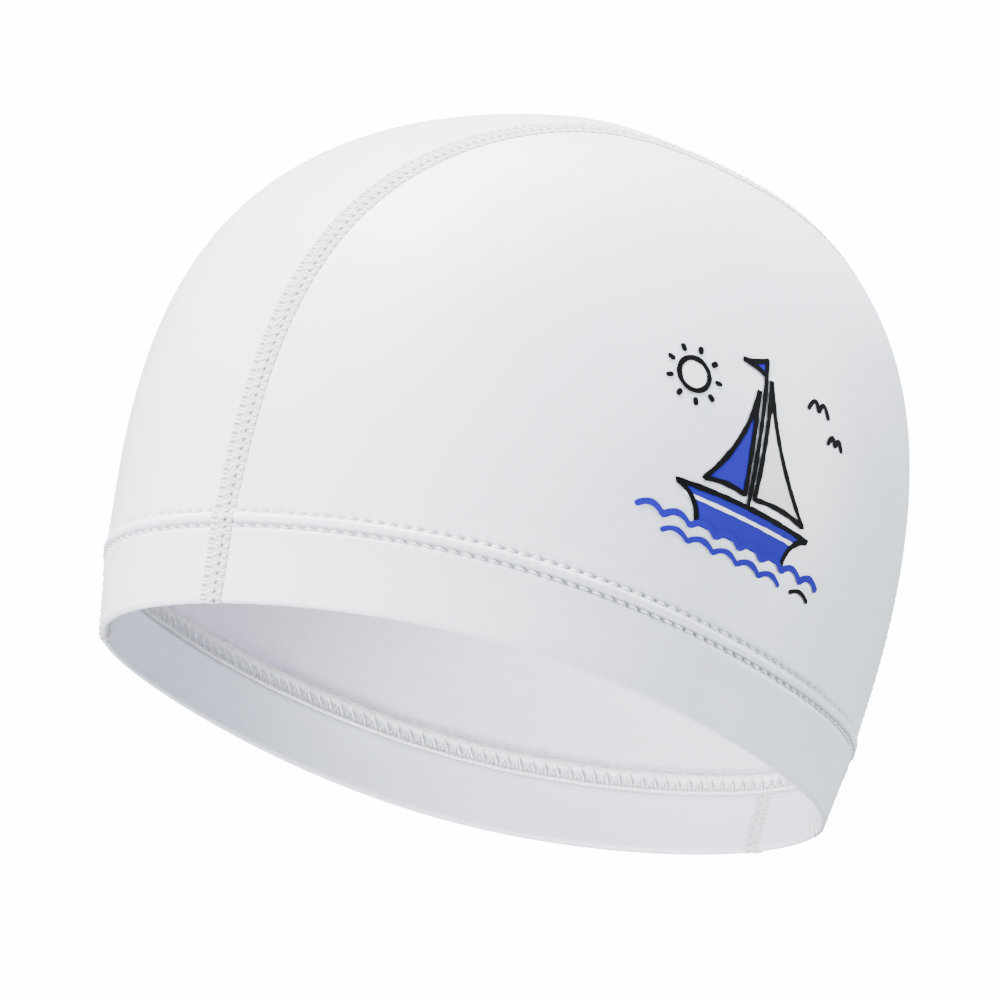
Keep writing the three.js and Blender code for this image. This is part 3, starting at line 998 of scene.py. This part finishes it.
# A brush line with round ends and a slightly uneven width
def drawLine(bm, points, width, color, level, closed=False):
    if closed:
        points = np.concatenate([points, points[:2]])
    lengths = lengthsAlong(points)
    steps = max(6, round(lengths[-1] / 0.6))
    along = np.linspace(0, lengths[-1], steps)
    if not closed:
        caps = width / 2 * (1 - np.cos(np.linspace(0, math.pi / 2, 5)))
        body = along[(along > width / 2) & (along < lengths[-1] - width / 2)]
        along = np.unique(np.concatenate([caps, body, lengths[-1] - caps]))
    line = np.stack([np.interp(along, lengths, points[:, k]) for k in (0, 1)], -1)
    side = unit(np.gradient(line, along, axis=0))[:, ::-1] * (-1, 1)
    half = width / 2 * (1 + 0.2 * sway(along * 0.9 + points[0, 0], points[0, 1]))
    if not closed:
        end = np.clip(np.minimum(along, lengths[-1] - along) / (width / 2), 0, 1)
        half = half * np.sqrt(np.clip(1 - (1 - end) ** 2, 0.002, 1))
    strip = bmesh.ops.create_grid(bm, x_segments=len(along) - 1, y_segments=1, size=0.5)["verts"]
    for vertex in strip:
        at = round((vertex.co.x + 0.5) * (len(along) - 1))
        place = line[at] + side[at] * half[at] * (1 if vertex.co.y > 0 else -1)
        vertex.co = (*place, level)
    for face in {f for v in strip for f in v.link_faces}:
        face.material_index = color


def printedPicture():
    bm = bmesh.new()
    line, level = artwork["line"], artwork["lineLevel"]
    for shape in sailShapes:
        points = bowed(shape["corners"])
        fillShape(bm, points, shape["ink"], artwork["fillLevel"])
        isOpen = "inWater" in shape
        drawLine(bm, points[:-13] if isOpen else points, line, 2, level, not isOpen)
    t = np.linspace(0, 1, 12)[:, None]
    for row in (mast, band):
        points = lerp(np.array(row["from"]), np.array(row["to"]), t)
        drawLine(bm, points, row["line"], row["ink"], row["level"])
    angle = np.linspace(0, 2 * math.pi, 33)[:-1]
    ring = np.c_[np.cos(angle), np.sin(angle)]
    middle = np.array([sun["x"], sun["y"]])
    fillShape(bm, middle + ring * sun["radius"], 0, artwork["fillLevel"])
    drawLine(bm, middle + ring * sun["radius"], line, 2, level, True)
    for i in range(sun["rays"]):
        angle = 2 * math.pi * i / sun["rays"]
        way = np.array([math.cos(angle), math.sin(angle)])
        drawLine(bm, middle + way * lerp(sun["rayStart"], sun["rayEnd"], t), line, 2, level)
    for gull in gulls:
        for wing in (-1, 1):
            x = gull["x"] + wing * gull["span"] / 2 * t
            y = gull["y"] + gull["span"] * (0.34 * np.sin(math.pi * t ** 0.8) - 0.06 * t)
            drawLine(bm, np.c_[x, y], line, 2, level)
    for wave in waves:
        x = np.linspace(wave["from"], wave["to"], 90)
        crests = np.abs(np.sin(math.pi * (x - wave["from"]) / wave["crest"]))
        y = wave["y"] + wave["height"] * crests ** 0.8
        drawLine(bm, np.c_[x, y], wave["line"], wave["ink"], artwork["waveLevel"])
    bmesh.ops.triangulate(bm, faces=bm.faces)
    flat = np.array([vertex.co[:] for vertex in bm.verts])
    placed = onPrint(flat[:, 0], flat[:, 1], flat[:, 2]) * 0.001
    for vertex, place in zip(bm.verts, placed):
        vertex.co = place
    piece = newPiece("left_panel_print", bm, inks, [])
    film = piece.modifiers.new("ink film", "SOLIDIFY")
    film.thickness = artwork["film"] * 0.001
    film.offset = -1
    return piece


picture = printedPicture()

print("swim cap: stage")

view = {"azimuth": 66.32, "elevation": -15.784, "roll": 12.747, "distance": 3205.4,
        "pixelsPerMm": 3.928, "aimHeight": 75, "rightOfAim": -6.28, "aboveAim": -11.89}


def setCamera():
    azimuth, elevation, roll = (math.radians(view[k]) for k in ("azimuth", "elevation", "roll"))
    back = Vector((math.sin(azimuth) * math.cos(elevation), -math.cos(azimuth) * math.cos(elevation),
                   math.sin(elevation)))
    right = back.cross(Vector((0, 0, -1))).normalized()
    up = back.cross(right)
    turned = right * math.cos(roll) + up * math.sin(roll)
    top = up * math.cos(roll) - right * math.sin(roll)
    target = Vector((0, 0, view["aimHeight"])) + turned * view["rightOfAim"] + top * view["aboveAim"]
    place = (target + back * view["distance"]) * 0.001
    data = bpy.data.cameras.new("camera")
    data.sensor_width = 36
    data.lens = 36 * view["pixelsPerMm"] * view["distance"] / 1000
    data.clip_end = 50
    camera = bpy.data.objects.new("camera", data)
    bpy.context.collection.objects.link(camera)
    axes = Matrix((turned, top, back)).transposed().to_4x4()
    camera.matrix_world = Matrix.Translation(place) @ axes
    bpy.context.scene.camera = camera


# Four round soft boxes 3 m off in a dim room, and an evenly white backdrop behind the cap: a strong
# key high on the left, one overhead, one low on the left that lights the inside of the hem, and
# one on the right
studio = {"floorHeight": -4.6, "roomLight": 0.3, "roomColor": "F4F7FF", "backdrop": 15}
lights = [
    {"name": "key", "from": (-52, 55), "power": 418, "size": 1.2, "color": "F6FAFF"},
    {"name": "overhead", "from": (-90, 80), "power": 222, "size": 1.6, "color": "F6FAFF"},
    {"name": "low", "from": (-43, -34), "power": 285, "size": 1.8, "color": "F9FAFF"},
    {"name": "right", "from": (90, 25), "power": 190, "size": 1.6, "color": "F6FAFF"},
]
lightDistance = 3


# A light's place is two angles: round from the camera to its right, and up
def addLight(row):
    data = bpy.data.lights.new(row["name"], "AREA")
    data.shape = "DISK"
    data.size = row["size"]
    data.energy = row["power"]
    data.color = fromHex(row["color"])[:3]
    light = bpy.data.objects.new(row["name"], data)
    bpy.context.collection.objects.link(light)
    aside, up = (math.radians(angle) for angle in row["from"])
    azimuth = math.radians(view["azimuth"]) + aside
    way = Vector((math.sin(azimuth) * math.cos(up), -math.cos(azimuth) * math.cos(up), math.sin(up)))
    light.location = Vector((0, 0, view["aimHeight"] * 0.001)) + way * lightDistance
    light.rotation_euler = (-way).to_track_quat("-Z", "Y").to_euler()


def setStage():
    bm = bmesh.new()
    bmesh.ops.create_grid(bm, x_segments=1, y_segments=1, size=15)
    bmesh.ops.translate(bm, verts=bm.verts, vec=(0, 0, studio["floorHeight"]))
    mesh = bpy.data.meshes.new("floor")
    bm.to_mesh(mesh)
    bm.free()
    floor = bpy.data.objects.new("floor", mesh)
    bpy.context.collection.objects.link(floor)
    mesh.materials.append(newMaterial("matt_white_paint", "F4F4F4", 0.9)[0])
    world = bpy.data.worlds.new("studio")
    bpy.context.scene.world = world
    world.use_nodes = True
    tree = world.node_tree
    tree.nodes["Background"].inputs["Strength"].default_value = studio["roomLight"]
    tree.nodes["Background"].inputs["Color"].default_value = fromHex(studio["roomColor"])
    sweep = addNode(tree, "ShaderNodeBackground", {"Strength": studio["backdrop"]})
    sweep.inputs["Color"].default_value = (1, 1, 1, 1)
    path = addNode(tree, "ShaderNodeLightPath")
    both = addNode(tree, "ShaderNodeMixShader", {}, {0: path.outputs["Is Camera Ray"],
                   1: tree.nodes["Background"].outputs[0], 2: sweep.outputs[0]})
    tree.links.new(both.outputs[0], tree.nodes["World Output"].inputs["Surface"])
    for row in lights:
        addLight(row)


setCamera()
setStage()
